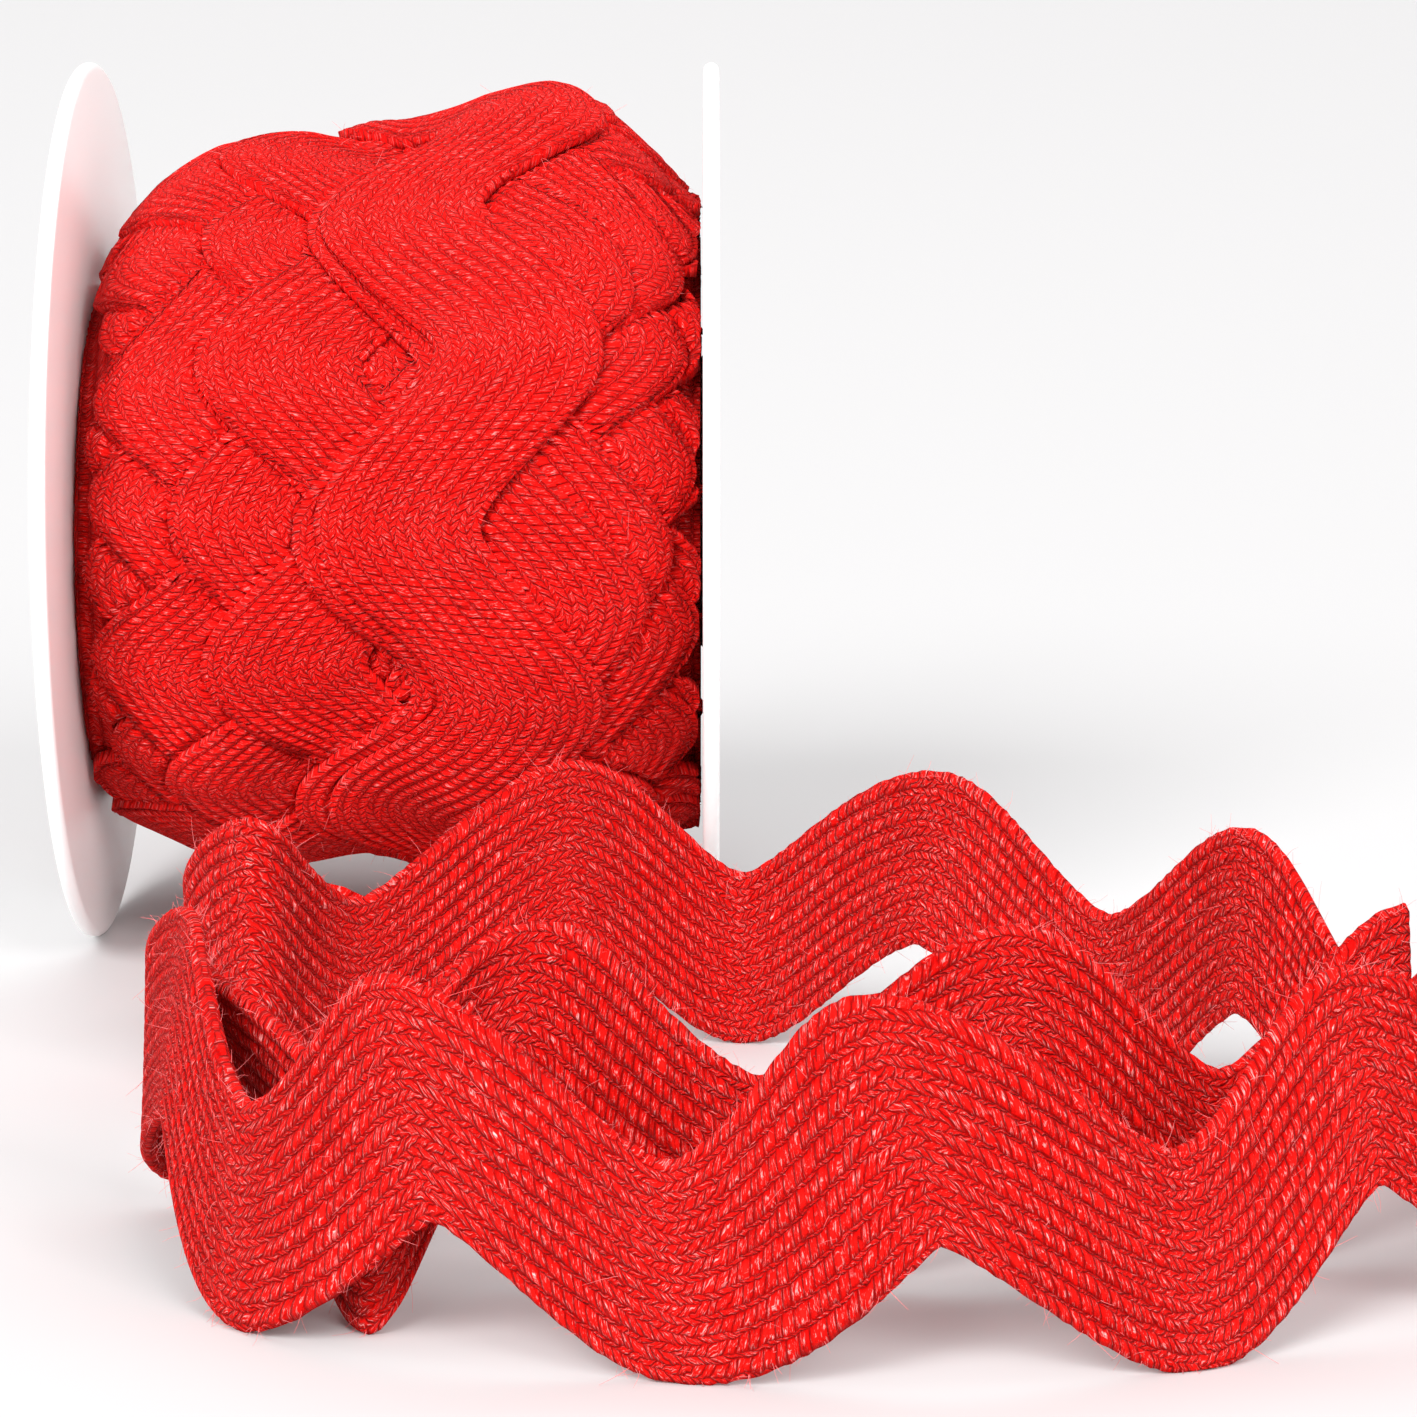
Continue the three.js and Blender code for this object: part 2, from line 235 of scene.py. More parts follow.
def band_edges(phase, swing=1.0, width=BAND_WIDTH, belly=WAVE_SHAPE):
    """The band's two edges, measured across the braid's width from 0 to BRAID_WIDTH."""
    travel = (BRAID_WIDTH - BAND_WIDTH) * swing
    middle = BRAID_WIDTH / 2
    low = middle - width / 2 - travel * (crest(phase + math.pi, belly) - 0.5)
    high = middle + width / 2 + travel * (crest(phase) - 0.5)
    return low, high


def mesh_object(name, points, faces, material, weave=None):
    """A mesh piece from points in millimetres, riding on the part's one body."""
    mesh = bpy.data.meshes.new(name)
    placed = np.asarray(points, float).reshape(-1, 3) * MM + OFFSET
    mesh.from_pydata(placed.tolist(), [], faces)
    mesh.update()
    if weave is not None:
        attribute = mesh.attributes.new("weave", "FLOAT_VECTOR", "POINT")
        attribute.data.foreach_set("vector", np.asarray(weave, np.float32).ravel())
    mesh.polygons.foreach_set("use_smooth", [True] * len(mesh.polygons))
    mesh.materials.append(material)
    piece = bpy.data.objects.new(name, mesh)
    bpy.context.collection.objects.link(piece)
    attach(piece, "root")
    return piece


def ring_faces(rings, across, full_turn=False):
    """Quads over rings of points that close on themselves, with end caps unless they go full turn."""
    i = np.arange(rings if full_turn else rings - 1)[:, None]
    j = np.arange(across)[None, :]
    here = i * across
    ahead = ((i + 1) % rings) * across
    k = (j + 1) % across
    quads = np.stack([here + j, ahead + j, ahead + k, here + k], axis=-1).reshape(-1, 4).tolist()
    if not full_turn:
        quads.append(list(range(across)))
        quads.append(list(range(rings * across - 1, (rings - 1) * across - 1, -1)))
    return quads


def surface_normals(surface):
    """Unit normals of a grid of points."""
    along = np.gradient(surface, axis=0)
    across = np.gradient(surface, axis=1)
    normals = np.cross(along, across)
    return normals / np.linalg.norm(normals, axis=-1, keepdims=True)


def across_samples():
    """Places across the band from 0 to 1, with the ribs' profile there."""
    count = RIBS * POINTS_PER_RIB + 1
    s = np.linspace(0, 1, count)
    rib = np.abs(np.sin(math.pi * RIBS * s)) ** RIB_ROUNDNESS
    return s, rib


def ribbed_rings(surface, slope, both_sides, lengthwise):
    """Rings round a ribbed band: its front with ribs, then its back, ribbed as well or plain."""
    s, rib = across_samples()
    normals = surface_normals(surface)
    surface = surface.copy()
    jitter_drift = 2.0 * np.sin(lengthwise * 0.9)
    jitter = EDGE_JITTER * np.sin(lengthwise * 2 * math.pi / JITTER_LENGTH + jitter_drift)
    tiny = 1e-9
    for edge, inner in ((0, 1), (-1, -2)):
        outward = surface[:, edge] - surface[:, inner]
        outward /= np.linalg.norm(outward, axis=1, keepdims=True) + tiny
        surface[:, edge] += outward * jitter[:, None]
    depth = RIB_DEPTH * (RIB_DEPTH_AT_CREST + (1 - RIB_DEPTH_AT_CREST) * np.abs(slope))[:, None]
    half = BRAID_THICKNESS / 2
    height = half - depth * (1 - rib[None, :])
    height[:, 0] = SELVEDGE
    height[:, -1] = SELVEDGE
    front = surface + normals * height[:, :, None]
    stitches = np.repeat((lengthwise / STITCH)[:, None], len(s), axis=1)
    rib_places = np.clip(s * RIBS, RIB_MARGIN, RIBS - RIB_MARGIN)
    ribs = np.repeat(rib_places[None, :], len(lengthwise), axis=0)
    slopes = np.repeat(slope[:, None], len(s), axis=1)
    weave = np.stack([stitches, ribs, slopes], axis=-1)
    if both_sides:
        back = (surface - normals * height[:, :, None])[:, ::-1]
        back_weave = weave[:, ::-1]
    else:
        back = (surface - normals * half)[:, [-2, 1]]
        back_weave = weave[:, [-2, 1]]
    rings = np.concatenate([front, back], axis=1)
    return rings, np.concatenate([weave, back_weave], axis=1)


def path_length(points):
    """The length along a row of points up to each of them."""
    steps = np.linalg.norm(np.diff(points, axis=0), axis=1)
    return np.concatenate([[0.0], np.cumsum(steps)])


# Loose end
def loose_surface(place):
    """The middle surface of the loose end, its low edge first, with its wave's phase."""
    x, y, lean, lift, swing, width, slant, belly = between(LOOSE_END, place).T
    ahead = 0.01
    travel = (between(LOOSE_END, place + ahead) - between(LOOSE_END, place - ahead))[:, :2]
    travel /= np.linalg.norm(travel, axis=1, keepdims=True)
    tilt = np.radians(lean)
    up = np.stack([-travel[:, 1] * np.sin(tilt), travel[:, 0] * np.sin(tilt), np.cos(tilt)], axis=1)
    along = np.column_stack([travel, np.zeros(len(travel))])
    phase = math.pi * (place - 1)
    low, high = band_edges(phase, swing, width, belly)
    base = np.stack([x, y, lift + BRAID_THICKNESS / 2 * np.abs(np.sin(tilt))], axis=1)
    s, _ = across_samples()
    reach = low[:, None] + (high - low)[:, None] * s[None, :]
    sheared = slant[:, None] * (reach / BRAID_WIDTH - 0.5)
    surface = base[:, None, :] + up[:, None, :] * reach[:, :, None] + along[:, None, :] * sheared[:, :, None]
    return surface, phase


def loose_places():
    """Places in the table that are LOOSE_STEP apart along the path, and the path's length up to each."""
    samples = 4000
    fine = np.linspace(0, CUT_AT_ROW, samples)
    length = path_length(between(LOOSE_END, fine)[:, :2])
    count = int(length[-1] / LOOSE_STEP) + 1
    even = np.linspace(0, length[-1], count)
    return np.interp(even, length, fine), even


def add_loose_end(material):
    """The piece, its middle surface and the length of its path."""
    place, length = loose_places()
    surface, phase = loose_surface(place)
    rings, weave = ribbed_rings(surface, -np.sin(phase), True, length)
    rings[:, :, 2] = np.maximum(rings[:, :, 2], 0.0)
    faces = ring_faces(len(rings), rings.shape[1])
    piece = mesh_object("loose_braid", rings, faces, material, weave)
    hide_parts("loose_end")
    return piece, surface, length[-1]


# Wound roll
def roll_outline(x, angle):
    """The radius that the full roll evens out to."""
    place, top, under = ROLL_OUTLINE.T
    share = (1 - np.cos(angle)) / 2
    return np.interp(x, place, top) * (1 - share) + np.interp(x, place, under) * share


def box_mean(grid, sides, columns):
    """The mean over a window of sides and columns. Sides go round in a full turn."""
    total = np.zeros_like(grid)
    for a in range(-sides, sides + 1):
        total += np.roll(grid, a, axis=0)
    total /= 2 * sides + 1
    edge = np.pad(total, ((0, 0), (columns + 1, columns)), mode="edge")
    summed = np.cumsum(edge, axis=1)
    return (summed[:, 2 * columns + 1:] - summed[:, :-2 * columns - 1]) / (2 * columns + 1)


def turn_places(turn, sides):
    """The strand's place on each side of the roll in one turn. Side 0 is the top, then down the front."""
    since_front = FRONT - np.arange(sides) / sides
    return turn + np.where(since_front > -0.5, since_front, since_front + 1)


def lay_turns():
    """The radius that each turn of the strand is laid at, over the whole roll, and the core's radius."""
    left = FLANGE_LEFT_X + FLANGE_CLEARANCE
    right = FLANGE_RIGHT_X - FLANGE_CLEARANCE
    column_x = np.linspace(left, right, ROLL_COLUMNS)
    window_radius = 42.0
    side_mm = 2 * math.pi * window_radius / ROLL_SIDES
    column_mm = column_x[1] - column_x[0]
    ride_window = (round(RIDE_MM / side_mm), round(RIDE_MM / column_mm))
    even_window = (round(EVEN_MM / side_mm), round(EVEN_MM / column_mm))
    angle = 2 * math.pi * np.arange(ROLL_SIDES) / ROLL_SIDES
    outline = roll_outline(column_x[None, :], angle[:, None])
    core = outline - START_DEPTH
    pile = core.copy()
    laid = []
    for turn in range(math.ceil(LAST_TURN) + 1):
        place = turn_places(turn, ROLL_SIDES)
        here = (place >= FIRST_TURN) & (place <= LAST_TURN)
        middle, waves = between(WINDING, place).T
        low, high = band_edges(2 * math.pi * waves)
        start = middle - BRAID_WIDTH / 2
        inside = np.minimum(
            column_x[None, :] - (start + low)[:, None],
            (start + high)[:, None] - column_x[None, :],
        )
        cover = np.clip(inside / STRAND_EDGE + 0.5, 0, 1) * here[:, None]
        ride = box_mean(pile, *ride_window)
        radius = np.maximum(ride + LAYER_THICKNESS, pile + LAYER_THICKNESS / 2)
        laid.append(radius)
        pile = pile + (radius - pile) * cover
        settled = (box_mean(pile, *ride_window) - pile) * SETTLE
        pile = pile + settled
        laid = [grid + settled for grid in laid]
    shift = outline - box_mean(box_mean(pile, *even_window), *even_window)
    return column_x, [grid + shift for grid in laid], core + shift


def sample(grid, column_x, side, x):
    """A grid's value at broken side numbers and at x, by straight lines between its points."""
    columns = (x - column_x[0]) / (column_x[1] - column_x[0])
    inside_last = 1.001
    columns = np.clip(columns, 0, len(column_x) - inside_last)
    j = columns.astype(int)
    v = columns - j
    i = np.floor(side).astype(int)
    u = side - i
    sides = grid.shape[0]
    near = grid[i % sides, j] * (1 - v) + grid[i % sides, j + 1] * v
    far = grid[(i + 1) % sides, j] * (1 - v) + grid[(i + 1) % sides, j + 1] * v
    return near * (1 - u) + far * u


def on_roll(angle, x, radius):
    """A point on the roll. Angle 0 is the top, and it grows down the front."""
    return np.stack([x, -radius * np.sin(angle), AXLE_HEIGHT + radius * np.cos(angle)], axis=-1)


def strand_surface(first, last, column_x, laid):
    """The middle surface of the strand between two of its places, right edge first, and its wave's phase."""
    count = int((last - first) * 2 * math.pi * MEAN_RADIUS / WOUND_STEP) + 1
    place = np.linspace(first, last, count)
    middle, waves = between(WINDING, place).T
    phase = 2 * math.pi * waves
    low, high = band_edges(phase)
    s, _ = across_samples()
    x = (middle - BRAID_WIDTH / 2 + low)[:, None] + (high - low)[:, None] * s[None, :]
    x = np.clip(x, FLANGE_LEFT_X + FLANGE_CLEARANCE, FLANGE_RIGHT_X - FLANGE_CLEARANCE)
    side = ((FRONT - place) * ROLL_SIDES)[:, None] + np.zeros_like(x)
    radius = np.zeros_like(x)
    weights = np.zeros(count)
    for turn, grid in enumerate(laid):
        weight = np.clip((0.5 - np.abs(place - turn)) / SEAM_TURNS + 0.5, 0, 1)
        here = weight > 0
        if here.any():
            radius[here] += sample(grid, column_x, side[here], x[here]) * weight[here][:, None]
            weights += weight
    radius /= weights[:, None]
    angle = 2 * math.pi * (FRONT - place)[:, None] + np.zeros_like(x)
    length = (place - FIRST_TURN) * 2 * math.pi * MEAN_RADIUS
    surface = on_roll(angle, x, radius - BRAID_THICKNESS / 2)
    return surface[:, ::-1], phase, length


def add_strands(material, column_x, laid):
    """The turns of the strand, each a piece of its own from one back of the roll to the next."""
    surfaces = []
    for turn in range(math.ceil(LAST_TURN) + 1):
        first = max(turn - 0.5, FIRST_TURN)
        last = min(turn + 0.5, LAST_TURN)
        surface, phase, length = strand_surface(first, last, column_x, laid)
        rings, weave = ribbed_rings(surface, np.sin(phase), False, length)
        faces = ring_faces(len(rings), rings.shape[1])
        piece = mesh_object(f"wound_turn_{turn}", rings, faces, material, weave)
        surfaces.append(surface)
    return surfaces


def add_core(material, column_x, core):
    """The older turns under the ones that show, as one ribbed barrel round the hub."""
    sides = 200
    waves_round = 8
    wave_height = 2.2
    cord_width = 1.6
    cord_depth = 0.25
    clearance = 0.3
    x = column_x[::2]
    rings = []
    weave = []
    for i in range(sides):
        angle = 2 * math.pi * i / sides
        row = core[i * ROLL_SIDES // sides, ::2]
        cords = x / cord_width + wave_height * math.cos(waves_round * angle)
        radius = row - clearance + cord_depth * np.cos(2 * math.pi * cords)
        outside = on_roll(angle, x, radius)
        hole = on_roll(angle, x[[-1, 0]], np.full(2, HUB_RADIUS + clearance))
        rings.append(np.concatenate([outside, hole]))
        ribs = np.concatenate([x, x[[-1, 0]]]) / cord_width
        stitches = np.full(len(ribs), MEAN_RADIUS * angle / STITCH)
        weave.append(np.stack([stitches, ribs, np.ones(len(ribs))], axis=-1))
    rings = np.array(rings)
    faces = ring_faces(sides, rings.shape[1], full_turn=True)
    piece = mesh_object("wound_core", rings, faces, material, weave)
    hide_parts("wound_roll")


# Fuzz
def hair_roots(surfaces, count, edge_share, rng):
    """Random roots on the braid's surfaces, with the ways along, across and out of the braid there."""
    root_depth = 0.45
    spread_across = 0.5
    sizes = np.array([len(surface) for surface in surfaces], float)
    chosen = rng.choice(len(surfaces), size=count, p=sizes / sizes.sum())
    roots = np.zeros((count, 3))
    ways = np.zeros((count, 3, 3))
    for k, surface in enumerate(surfaces):
        here = np.flatnonzero(chosen == k)
        if not len(here):
            continue
        i = rng.integers(1, len(surface) - 1, len(here))
        j = rng.integers(1, surface.shape[1] - 1, len(here))
        at_edge = rng.random(len(here)) < edge_share
        nearest_edge = np.where(rng.random(len(here)) < 0.5, 1, surface.shape[1] - 2)
        j = np.where(at_edge, nearest_edge, j)
        along = surface[i + 1, j] - surface[i - 1, j]
        across = surface[i, j + 1] - surface[i, j - 1]
        along /= np.linalg.norm(along, axis=1, keepdims=True)
        across /= np.linalg.norm(across, axis=1, keepdims=True)
        out = np.cross(along, across)
        side = np.where(rng.random(len(here)) < 0.5, 1.0, -1.0)[:, None]
        inside_lean = rng.normal(0, spread_across, len(here))
        outward = np.where(at_edge, np.where(j == 1, -1.0, 1.0), inside_lean)[:, None]
        roots[here] = surface[i, j] + out * side * root_depth
        ways[here] = np.stack([along, across * outward, out * side], axis=1)
    return roots, ways


def add_fuzz(name, surfaces, count, edge_share, longest, material, rng):
    """Fine curved fibres, each a tapering tube of three sides. Most are short."""
    roots, ways = hair_roots(surfaces, count, edge_share, rng)
    along_share = rng.normal(0, 0.9, count)
    across_share = rng.uniform(0.2, 1.0, count)
    out_share = rng.uniform(0.15, 0.9, count)
    mix = np.stack([along_share, across_share, out_share], axis=1)
    way = np.einsum("ni,nij->nj", mix, ways)
    way /= np.linalg.norm(way, axis=1, keepdims=True)
    length = SHORTEST_HAIR + (longest - SHORTEST_HAIR) * rng.random(count) ** 3
    curl = 0.45
    bend = rng.normal(0, curl, (count, 3))
    steps = np.linspace(0, 1, HAIR_STEPS)
    line = (
        roots[:, None, :]
        + way[:, None, :] * (length[:, None] * steps[None, :])[:, :, None]
        + bend[:, None, :] * (length[:, None] * steps[None, :] ** 2)[:, :, None]
    )
    line[:, :, 2] = np.maximum(line[:, :, 2], HAIR_RADIUS)
    side = np.cross(way, rng.normal(0, 1, (count, 3)))
    side /= np.linalg.norm(side, axis=1, keepdims=True)
    other = np.cross(way, side)
    corner = 2 * math.pi * np.arange(3) / 3
    spoke = (
        side[:, None, :] * np.cos(corner)[None, :, None]
        + other[:, None, :] * np.sin(corner)[None, :, None]
    )
    taper = 0.6
    thick = HAIR_RADIUS * (1 - taper * steps)
    points = line[:, :, None, :] + spoke[:, None, :, :] * thick[None, :, None, None]
    hair = np.arange(count)[:, None, None] * HAIR_STEPS * 3
    step = np.arange(HAIR_STEPS - 1)[None, :, None] * 3
    k = np.arange(3)[None, None, :]
    near = hair + step
    faces = np.stack([near + k, near + (k + 1) % 3, near + 3 + (k + 1) % 3, near + 3 + k], axis=-1)
    piece = mesh_object(name, points, faces.reshape(-1, 4).tolist(), material)


# Spool
def add_spool(material):
    """The flanges, hub and end sockets as one turned form."""
    inner = WINDING_WIDTH / 2
    outer = inner + FLANGE_THICKNESS
    edge = FLANGE_THICKNESS / 2
    socket_round = 0.6
    socket_lip = 3.0
    rim_lip = 3.8
    step_width = 0.4
    step_depth = 0.35
    soft_edge = 0.3
    hub_round = 0.8
    rim = [
        (FLANGE_RADIUS - edge * (1 - math.cos(a)), (inner + outer) / 2 + edge * math.sin(a))
        for a in np.linspace(math.pi / 2, -math.pi / 2, 9)
    ]
    # Columns: radius, distance from the spool's middle along its axle.
    half = [
        (0.0, outer - SOCKET_DEPTH),
        (SOCKET_RADIUS - socket_round, outer - SOCKET_DEPTH),
        (SOCKET_RADIUS, outer - SOCKET_DEPTH + socket_round),
        (SOCKET_RADIUS, outer - soft_edge),
        (SOCKET_RADIUS + soft_edge, outer),
        (SOCKET_RADIUS + socket_lip, outer),
        (SOCKET_RADIUS + socket_lip + step_width, outer - step_depth),
        (FLANGE_RADIUS - rim_lip - step_width, outer - step_depth),
        (FLANGE_RADIUS - rim_lip, outer),
        *rim,
        (HUB_RADIUS + hub_round, inner),
        (HUB_RADIUS, inner - hub_round),
    ]
    profile = np.array(half + [(r, -x) for r, x in reversed(half)])
    angles = 2 * math.pi * np.arange(SPOOL_SIDES) / SPOOL_SIDES
    radius = profile[1:-1, 0][None, :]
    x = SPOOL_MIDDLE_X - profile[1:-1, 1][None, :]
    body = on_roll(*np.broadcast_arrays(angles[:, None], x, radius))
    body[:, :, 2] = np.maximum(body[:, :, 2], 0.0)
    across = body.shape[1]
    poles = on_roll(np.zeros(2), SPOOL_MIDDLE_X - profile[[0, -1], 1], np.zeros(2))
    points = np.vstack([body.reshape(-1, 3), poles])
    faces = []
    for i in range(SPOOL_SIDES):
        here = i * across
        ahead = ((i + 1) % SPOOL_SIDES) * across
        for j in range(across - 1):
            faces.append([here + j, ahead + j, ahead + j + 1, here + j + 1])
        faces.append([len(points) - 2, ahead, here])
        faces.append([len(points) - 1, here + across - 1, ahead + across - 1])
    piece = mesh_object("spool_moulding", points, faces, material)
    bevel_shade(piece)
    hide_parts("spool")


def bevel_shade(piece):
    """Smooth shading that keeps the moulding's corners."""
    sharpest_smooth = 40
    modifier = piece.modifiers.new("corners", "EDGE_SPLIT")
    modifier.split_angle = math.radians(sharpest_smooth)


# Materials
class Nodes:
    """Short names for adding and joining the nodes of one material."""

    def __init__(self, name):
        self.material = bpy.data.materials.new(name)
        self.material.use_nodes = True
        self.tree = self.material.node_tree
        self.shader = self.tree.nodes["Principled BSDF"]

    def add(self, kind, inputs=None, **settings):
        node = self.tree.nodes.new(kind)
        for key, value in settings.items():
            setattr(node, key, value)
        for key, value in (inputs or {}).items():
            self.feed(node.inputs[key], value)
        return node

    def feed(self, socket, value):
        if isinstance(value, bpy.types.NodeSocket):
            self.tree.links.new(value, socket)
        else:
            socket.default_value = value

    def noise(self, place, **settings):
        node = self.add("ShaderNodeTexNoise", settings)
        self.feed(node.inputs["Vector"], place)
        return node.outputs["Fac"]

    def place(self, x, y, z=0.0):
        return self.add("ShaderNodeCombineXYZ", {"X": x, "Y": y, "Z": z}).outputs["Vector"]

    def math(self, operation, a, b=0.0):
        node = self.add("ShaderNodeMath", operation=operation)
        for socket, value in zip(node.inputs, (a, b)):
            self.feed(socket, value)
        return node.outputs[0]

    def scaled(self, value, size):
        return self.math("MULTIPLY", value, size)

    def lerp(self, factor, a, b):
        node = self.add("ShaderNodeMix", data_type="FLOAT")
        for socket, value in zip((node.inputs[0], node.inputs[2], node.inputs[3]), (factor, a, b)):
            self.feed(socket, value)
        return node.outputs[0]

    def clamp(self, value):
        return self.add("ShaderNodeClamp", {"Value": value}).outputs[0]

    def mix(self, factor, a, b):
        node = self.add("ShaderNodeMix", data_type="RGBA")
        self.feed(node.inputs["Factor"], factor)
        self.feed(node.inputs["A"], a)
        self.feed(node.inputs["B"], b)
        return node.outputs["Result"]


def braid_material(name, groove_shade, highlight_strength, unevenness, bump_depth):
    """Knitted cords with a column of stitches on each side, whose strokes meet in a V along each rib.

    The attribute weave holds the place along the braid in stitches, the place across it in ribs, and the
    wave's slope from -1 to 1.
    """
    n = Nodes(name)
    weave = n.add("ShaderNodeAttribute", attribute_name="weave").outputs["Vector"]
    stitches, straight_ribs, slope = n.add("ShaderNodeSeparateXYZ", {"Vector": weave}).outputs

    # Cords that sway a little, each with two columns of stitches, one wider than the other on the slopes
    sway_size = 0.75 * unevenness
    sway_along = 0.9
    sway_across = 1.3
    sway_place = n.place(n.scaled(stitches, sway_along), n.scaled(straight_ribs, sway_across))
    sway = n.noise(sway_place, Scale=1.0, Detail=2.0)
    ribs = n.math("ADD", straight_ribs, n.scaled(n.math("SUBTRACT", sway, 0.5), sway_size))
    rib = n.math("FLOOR", ribs)
    across = n.math("FRACT", ribs)
    lopsided = 0.34
    share = n.math("ADD", 0.5, n.scaled(slope, lopsided))
    past_share = n.math("SUBTRACT", across, share)
    second = n.math("GREATER_THAN", across, share)
    first_place = n.math("DIVIDE", across, share)
    second_place = n.math("DIVIDE", past_share, n.math("SUBTRACT", 1.0, share))
    place = n.lerp(second, first_place, second_place)
    column = n.math("ADD", n.scaled(rib, 2.0), second)

    # Strokes that slant with the column and wander a little, one for each stitch
    steep = 1.7
    leaning_on = n.scaled(n.math("SUBTRACT", slope, 1.0), steep)
    leaning_back = n.scaled(n.math("ADD", slope, 1.0), steep)
    leftward = n.math("MULTIPLY", across, leaning_on)
    rightward = n.math("MULTIPLY", past_share, leaning_back)
    slanted = n.math("ADD", stitches, n.lerp(second, leftward, rightward))
    wander_size = 3.0 * unevenness
    wander_along = 0.7
    columns_apart = 3.71
    off_the_grid = 0.37
    wander_row = n.math("ADD", n.scaled(column, columns_apart), off_the_grid)
    wander = n.noise(n.place(n.scaled(stitches, wander_along), wander_row), Scale=1.0, Detail=2.0)
    turn = n.math("ADD", slanted, n.scaled(wander, wander_size))
    stroke = n.math("ABSOLUTE", n.math("SINE", n.scaled(turn, math.pi)))
    bulge = n.math("SINE", n.scaled(n.clamp(place), math.pi))
    stroke_fullness = 0.6
    bulge_fullness = 0.5
    full_stroke = n.math("POWER", stroke, stroke_fullness)
    stitch_height = n.math("MULTIPLY", full_stroke, n.math("POWER", bulge, bulge_fullness))

    # Two plies and fine fibres in each stroke, and some strokes higher than others
    fibres_each = 9.0
    fibre_breaks = 2.4
    columns_differ = 3.7
    fibre_place = n.place(
        n.scaled(turn, fibres_each),
        n.scaled(place, fibre_breaks),
        n.scaled(column, columns_differ),
    )
    fibres = n.noise(fibre_place, Scale=1.0, Detail=3.0, Roughness=0.65)
    plies = n.math("ABSOLUTE", n.math("SINE", n.scaled(turn, 2.0 * math.pi)))
    ply_height = 0.35
    fibre_height = 0.7
    fine = n.math("ADD", n.scaled(plies, ply_height), n.scaled(fibres, fibre_height))
    each_place = n.place(n.math("FLOOR", turn), column)
    each = n.add("ShaderNodeTexWhiteNoise", {"Vector": each_place}, noise_dimensions="2D")
    lowest_stitch = 0.6
    stitch_range = 0.8
    uneven = n.math("ADD", lowest_stitch, n.scaled(each.outputs["Value"], stitch_range))
    height = n.math("ADD", n.math("MULTIPLY", stitch_height, uneven), fine)

    # Painted shade: darker between the cords, strokes and plies. Painted highlights: pale where a fibre
    # catches the light
    valley_fullness = 0.35
    cord = n.math("ABSOLUTE", n.math("SINE", n.scaled(across, math.pi)))
    valley = n.math("POWER", cord, valley_fullness)
    cord_valley_shade = n.lerp(n.math("ABSOLUTE", slope), 1.0, valley)
    ply_shade_strength = 0.5
    ply_valley_shade = n.math("ADD", 1.0 - ply_shade_strength, n.scaled(plies, ply_shade_strength))
    stroke_shade_power = 0.7
    stroke_valley_shade = n.math("POWER", stitch_height, stroke_shade_power)
    lit = n.math("MULTIPLY", n.math("MULTIPLY", stroke_valley_shade, cord_valley_shade), ply_valley_shade)
    red = (0.98, 0.010, 0.007, 1.0)
    highlight_pink = (1.0, 0.52, 0.50, 1.0)
    # Painted shade: the groove colour fills the valleys between cords, strokes and plies
    base = n.mix(lit, groove_shade, red)
    # Painted highlight: pale pink streaks on the fibres that stand highest
    highlight_range = {"Value": fibres, "From Min": 0.56, "From Max": 0.68, "To Max": highlight_strength}
    painted_highlight = n.add("ShaderNodeMapRange", highlight_range).outputs["Result"]
    colour = n.mix(n.math("MULTIPLY", painted_highlight, lit), base, highlight_pink)
    patches = n.noise(n.add("ShaderNodeTexCoord").outputs["Object"], Scale=220.0, Detail=3.0)
    darkest_patch = 0.86
    patch_range = 0.28
    shade = n.add("ShaderNodeHueSaturation", {"Color": colour})
    n.feed(shade.inputs["Value"], n.math("ADD", darkest_patch, n.scaled(patches, patch_range)))
    n.feed(n.shader.inputs["Base Color"], shade.outputs["Color"])
    bump = n.add("ShaderNodeBump", {"Strength": 1.0, "Distance": bump_depth, "Height": height})
    n.feed(n.shader.inputs["Normal"], bump.outputs["Normal"])
    n.shader.inputs["Roughness"].default_value = 0.7
    n.shader.inputs["Specular IOR Level"].default_value = 0.03
    n.shader.inputs["Sheen Weight"].default_value = 0.03
    n.shader.inputs["Sheen Roughness"].default_value = 0.3
    n.shader.inputs["Sheen Tint"].default_value = (1.0, 0.45, 0.45, 1.0)
    return n.material


def fuzz_material():
    """Loose fibres that stand off the braid."""
    n = Nodes("red_fuzz")
    tufts = n.noise(n.add("ShaderNodeTexCoord").outputs["Object"], Scale=400.0, Detail=1.0)
    dark = (0.85, 0.02, 0.025, 1.0)
    light = (1.0, 0.25, 0.25, 1.0)
    n.feed(n.shader.inputs["Base Color"], n.mix(tufts, dark, light))
    n.shader.inputs["Roughness"].default_value = 0.5
    n.shader.inputs["Sheen Weight"].default_value = 0.3
    return n.material


def plastic_material():
    """White moulded plastic with a faint cloud in its colour and a fine grain."""
    n = Nodes("white_plastic")
    coordinates = n.add("ShaderNodeTexCoord").outputs["Object"]
    clouds = n.noise(coordinates, Scale=30.0, Detail=2.0)
    white = (0.90, 0.89, 0.885, 1.0)
    brighter = (0.94, 0.93, 0.925, 1.0)
    n.feed(n.shader.inputs["Base Color"], n.mix(clouds, white, brighter))
    grain = n.noise(coordinates, Scale=900.0, Detail=2.0)
    bump = n.add("ShaderNodeBump", {"Strength": 0.05, "Distance": 0.0001, "Height": grain})
    n.feed(n.shader.inputs["Normal"], bump.outputs["Normal"])
    n.shader.inputs["Roughness"].default_value = 0.3
    n.shader.inputs["Subsurface Weight"].default_value = 0.6
    n.shader.inputs["Subsurface Radius"].default_value = (0.012, 0.010, 0.010)
    return n.material


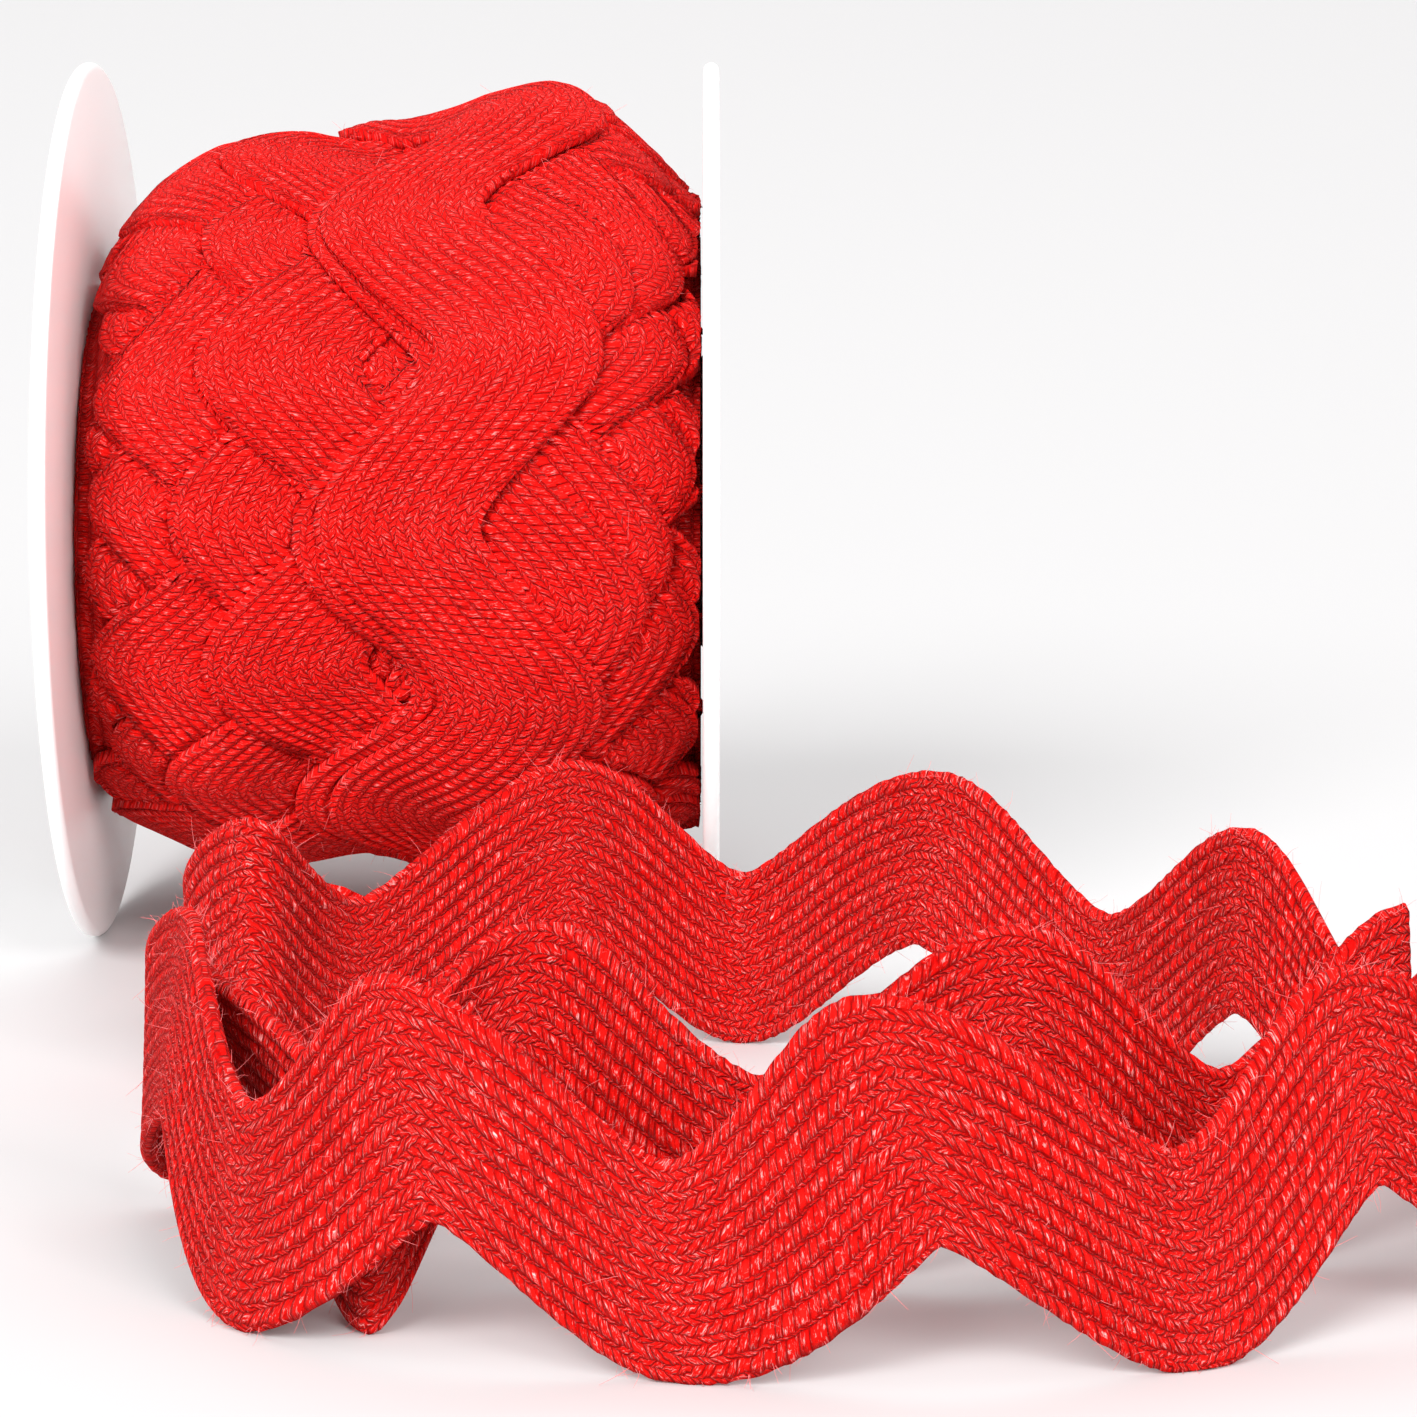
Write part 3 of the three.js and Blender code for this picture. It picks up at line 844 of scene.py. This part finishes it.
# Floor, lights and world
def add_floor():
    """A pale floor that rises behind in one wide, gentle sweep, so that no edge shows."""
    n = Nodes("pale_floor")
    n.shader.inputs["Base Color"].default_value = (0.575, 0.569, 0.572, 1.0)
    n.shader.inputs["Roughness"].default_value = 0.8
    n.shader.inputs["Specular IOR Level"].default_value = 0.2
    half_width = 5.0
    near = -3.0
    bend = 0.2
    radius = 6.0
    angles = np.linspace(0, 1.2, 60)
    turn = [(bend + radius * math.sin(a), radius * (1 - math.cos(a))) for a in angles]
    line = [(near, 0.0), *turn]
    points = [(side * half_width, y, z) for y, z in line for side in (-1, 1)]
    faces = [[2 * i, 2 * i + 1, 2 * i + 3, 2 * i + 2] for i in range(len(line) - 1)]
    mesh = bpy.data.meshes.new("floor")
    mesh.from_pydata(points, [], faces)
    mesh.polygons.foreach_set("use_smooth", [True] * len(faces))
    mesh.materials.append(n.material)
    floor = bpy.data.objects.new("floor", mesh)
    bpy.context.collection.objects.link(floor)


def add_light(name, place, aim, size, power):
    """A square area lamp turned towards its aim."""
    data = bpy.data.lights.new(name, "AREA")
    data.shape = "SQUARE"
    data.size = size
    data.energy = power
    lamp = bpy.data.objects.new(name, data)
    lamp.location = place
    lamp.rotation_euler = (Vector(aim) - Vector(place)).to_track_quat("-Z", "Y").to_euler()
    bpy.context.collection.objects.link(lamp)


def add_lights():
    """Large soft lamps in front, a faint one above, one on the backdrop, and an even pale world."""
    part = (0.0, 0.0, 0.03)
    sweep = (0.0, 2.8, 0.3)
    # Columns: name, place in metres, aim, size in metres, power in watts.
    lamps = [
        ("overhead", (-0.1, 0.1, 1.6), part, 1.4, 2.0),
        ("backdrop", (0.0, 0.9, 2.0), sweep, 2.0, 11.0),
        ("front_left", (-1.2, -2.7, 1.8), part, 1.4, 134.0),
        ("front_right", (1.3, -2.7, 1.5), part, 1.4, 76.0),
    ]
    for lamp in lamps:
        add_light(*lamp)
    world = bpy.data.worlds.new("studio")
    world.use_nodes = True
    background = world.node_tree.nodes["Background"]
    background.inputs["Color"].default_value = (1.0, 0.998, 0.998, 1.0)
    background.inputs["Strength"].default_value = 0.82
    bpy.context.scene.world = world
    bpy.context.scene.view_settings.view_transform = "Standard"


add_camera()
braid = braid_material(
    "red_braid",
    groove_shade=(0.44, 0.0005, 0.0005, 1.0),
    highlight_strength=1.0,
    unevenness=0.6,
    bump_depth=0.0006,
)
# The wound copy has paler painted groove shade and weaker painted highlights, which lightens the roll.
wound_braid = braid_material(
    "red_braid_wound",
    groove_shade=(0.55, 0.002, 0.002, 1.0),
    highlight_strength=0.65,
    unevenness=0.4,
    bump_depth=0.00045,
)
plastic = plastic_material()
loose, loose_points, loose_length = add_loose_end(braid)
column_x, laid, core = lay_turns()
strand_points = add_strands(wound_braid, column_x, laid)
add_core(wound_braid, column_x, core)
add_spool(plastic)
fuzz = fuzz_material()
rng = np.random.default_rng(HAIR_SEED)
last_turns = strand_points[-TURNS_WITH_HAIRS:]
add_fuzz("loose_fuzz", [loose_points], LOOSE_HAIRS, LOOSE_EDGE_SHARE, LOOSE_LONGEST_HAIR, fuzz, rng)
add_fuzz("wound_fuzz", last_turns, ROLL_HAIRS, WOUND_EDGE_SHARE, WOUND_LONGEST_HAIR, fuzz, rng)
add_floor()
add_lights()
